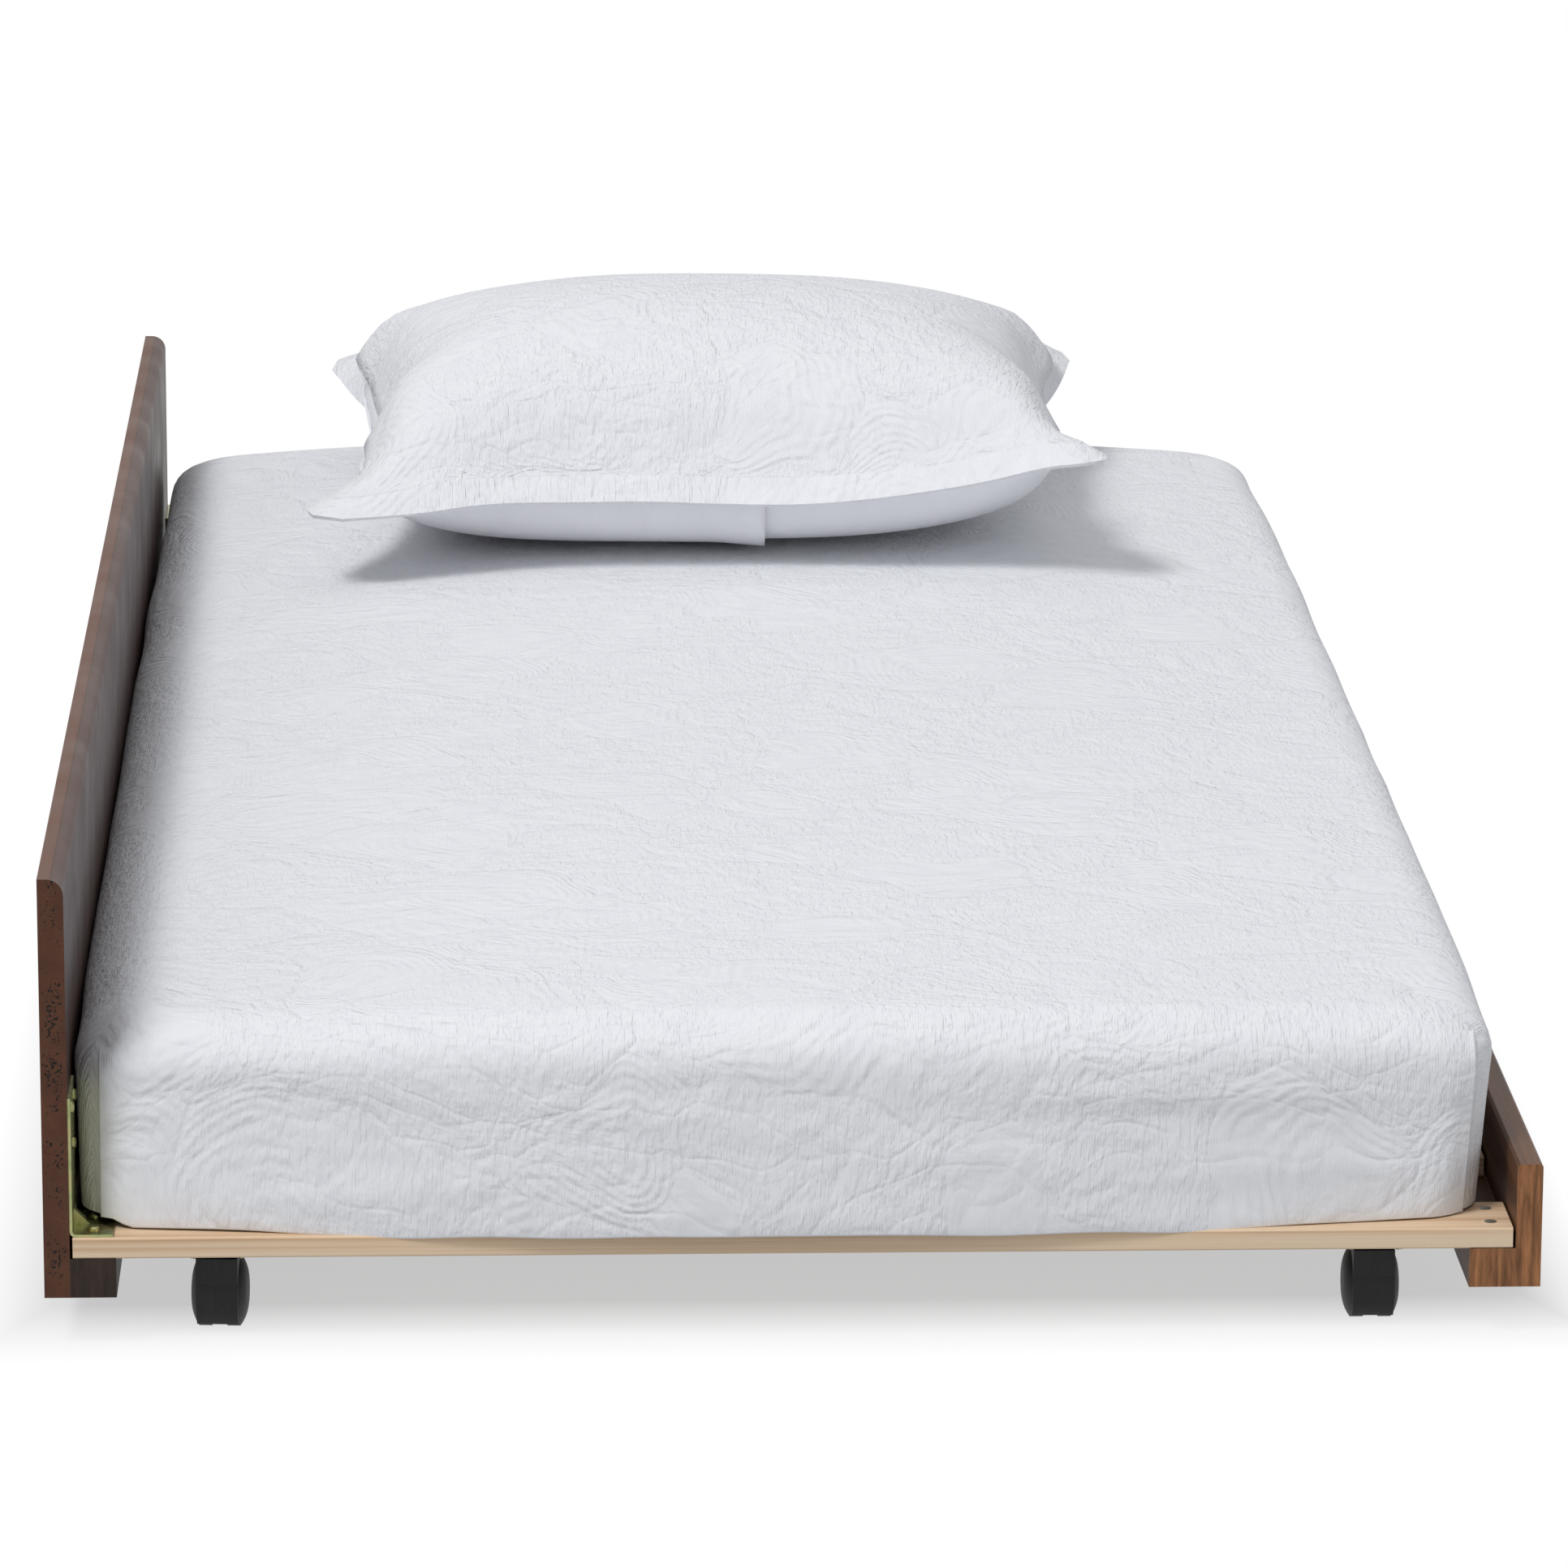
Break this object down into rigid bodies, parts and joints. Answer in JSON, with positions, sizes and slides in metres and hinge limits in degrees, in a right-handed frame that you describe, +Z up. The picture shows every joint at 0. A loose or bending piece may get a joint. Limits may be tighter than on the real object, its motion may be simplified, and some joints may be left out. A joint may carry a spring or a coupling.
{
  "type": "trundle bed",
  "caption": "Low trundle bed: tall front panel, low rear rail, slats, mattress, coverlet and pillow, on hooded twin-wheel swivel casters.",
  "frame": {"origin": "on the floor under the middle of the bed", "axes": "+X from the front panel to the rear rail, +Y along the bed to the head end, +Z up"},
  "size_m": [1.04, 1.9154, 0.4456],
  "materials": {
    "brown_lacquer": "satin lacquer",
    "dark_stained_wood": "dark stain",
    "stained_hardwood": "oiled stain",
    "pine": "planed, unfinished",
    "mattress_ticking": "woven",
    "white_matelasse": "woven in relief",
    "white_cotton": "plain weave",
    "dark_steel": "blackened",
    "yellow_zinc": "yellow zinc plate",
    "black_steel": "satin",
    "white_nylon": "matte",
    "bright_steel": "zinc plate",
    "black_plastic": "moulded, matte"
  },
  "bodies": {
    "bed": {"front_panel": "brown_lacquer", "front_ledger": "dark_stained_wood", "rear_rail": "stained_hardwood", "rear_ledger": "stained_hardwood", "mattress": "mattress_ticking", "coverlet": "white_matelasse", "pillow": "white_cotton", "pillow_sham": "white_matelasse", "slat_screws": "dark_steel", "ledger_screws": "dark_steel", "bracket_screws": "yellow_zinc", "slat_01": "pine", "slat_02": "pine", "slat_03": "pine", "slat_04": "pine", "slat_05": "pine", "slat_06": "pine", "slat_07": "pine", "slat_08": "pine", "slat_09": "pine", "slat_10": "pine", "slat_11": "pine", "slat_12": "pine", "angle_bracket_01": "yellow_zinc", "angle_bracket_05": "yellow_zinc", "angle_bracket_08": "yellow_zinc", "angle_bracket_12": "yellow_zinc", "caster_screws": "yellow_zinc", "caster_near_front_plate": "black_steel", "caster_near_front_washer": "white_nylon", "caster_near_front_stem": "bright_steel", "caster_near_rear_plate": "black_steel", "caster_near_rear_washer": "white_nylon", "caster_near_rear_stem": "bright_steel", "caster_far_front_plate": "black_steel", "caster_far_front_washer": "white_nylon", "caster_far_front_stem": "bright_steel", "caster_far_rear_plate": "black_steel", "caster_far_rear_washer": "white_nylon", "caster_far_rear_stem": "bright_steel"},
    "caster_near_front": {"caster_near_front_hood": "black_plastic", "caster_near_front_axle": "bright_steel"},
    "near_front_left_wheel": {"caster_near_front_left_wheel": "black_plastic"},
    "near_front_right_wheel": {"caster_near_front_right_wheel": "black_plastic"},
    "caster_near_rear": {"caster_near_rear_hood": "black_plastic", "caster_near_rear_axle": "bright_steel"},
    "near_rear_left_wheel": {"caster_near_rear_left_wheel": "black_plastic"},
    "near_rear_right_wheel": {"caster_near_rear_right_wheel": "black_plastic"},
    "caster_far_front": {"caster_far_front_hood": "black_plastic", "caster_far_front_axle": "bright_steel"},
    "far_front_left_wheel": {"caster_far_front_left_wheel": "black_plastic"},
    "far_front_right_wheel": {"caster_far_front_right_wheel": "black_plastic"},
    "caster_far_rear": {"caster_far_rear_hood": "black_plastic", "caster_far_rear_axle": "bright_steel"},
    "far_rear_left_wheel": {"caster_far_rear_left_wheel": "black_plastic"},
    "far_rear_right_wheel": {"caster_far_rear_right_wheel": "black_plastic"}
  },
  "joints": [
    {"name": "near_front_swivel", "type": "hinge", "parent": "bed", "child": "caster_near_front", "pos_m": [-0.401, -0.924, 0.05], "axis": [0, 0, 1], "continuous": true},
    {"name": "near_front_left_roll", "type": "hinge", "parent": "caster_near_front", "child": "near_front_left_wheel", "pos_m": [-0.39981, -0.90704, 0.025], "axis": [0.9976, -0.0698, 0], "continuous": true},
    {"name": "near_front_right_roll", "type": "hinge", "parent": "caster_near_front", "child": "near_front_right_wheel", "pos_m": [-0.39981, -0.90704, 0.025], "axis": [0.9976, -0.0698, 0], "continuous": true},
    {"name": "near_rear_swivel", "type": "hinge", "parent": "bed", "child": "caster_near_rear", "pos_m": [0.406, -0.924, 0.05], "axis": [0, 0, 1], "continuous": true},
    {"name": "near_rear_left_roll", "type": "hinge", "parent": "caster_near_rear", "child": "near_rear_left_wheel", "pos_m": [0.406, -0.907, 0.025], "axis": [1, 0, 0], "continuous": true},
    {"name": "near_rear_right_roll", "type": "hinge", "parent": "caster_near_rear", "child": "near_rear_right_wheel", "pos_m": [0.406, -0.907, 0.025], "axis": [1, 0, 0], "continuous": true},
    {"name": "far_front_swivel", "type": "hinge", "parent": "bed", "child": "caster_far_front", "pos_m": [-0.401, 0.924, 0.05], "axis": [0, 0, 1], "continuous": true},
    {"name": "far_front_left_roll", "type": "hinge", "parent": "caster_far_front", "child": "far_front_left_wheel", "pos_m": [-0.40569, 0.90766, 0.025], "axis": [-0.9613, 0.2756, 0], "continuous": true},
    {"name": "far_front_right_roll", "type": "hinge", "parent": "caster_far_front", "child": "far_front_right_wheel", "pos_m": [-0.40569, 0.90766, 0.025], "axis": [-0.9613, 0.2756, 0], "continuous": true},
    {"name": "far_rear_swivel", "type": "hinge", "parent": "bed", "child": "caster_far_rear", "pos_m": [0.406, 0.924, 0.05], "axis": [0, 0, 1], "continuous": true},
    {"name": "far_rear_left_roll", "type": "hinge", "parent": "caster_far_rear", "child": "far_rear_left_wheel", "pos_m": [0.41237, 0.90824, 0.025], "axis": [-0.9272, -0.3746, 0], "continuous": true},
    {"name": "far_rear_right_roll", "type": "hinge", "parent": "caster_far_rear", "child": "far_rear_right_wheel", "pos_m": [0.41237, 0.90824, 0.025], "axis": [-0.9272, -0.3746, 0], "continuous": true}
  ]
}
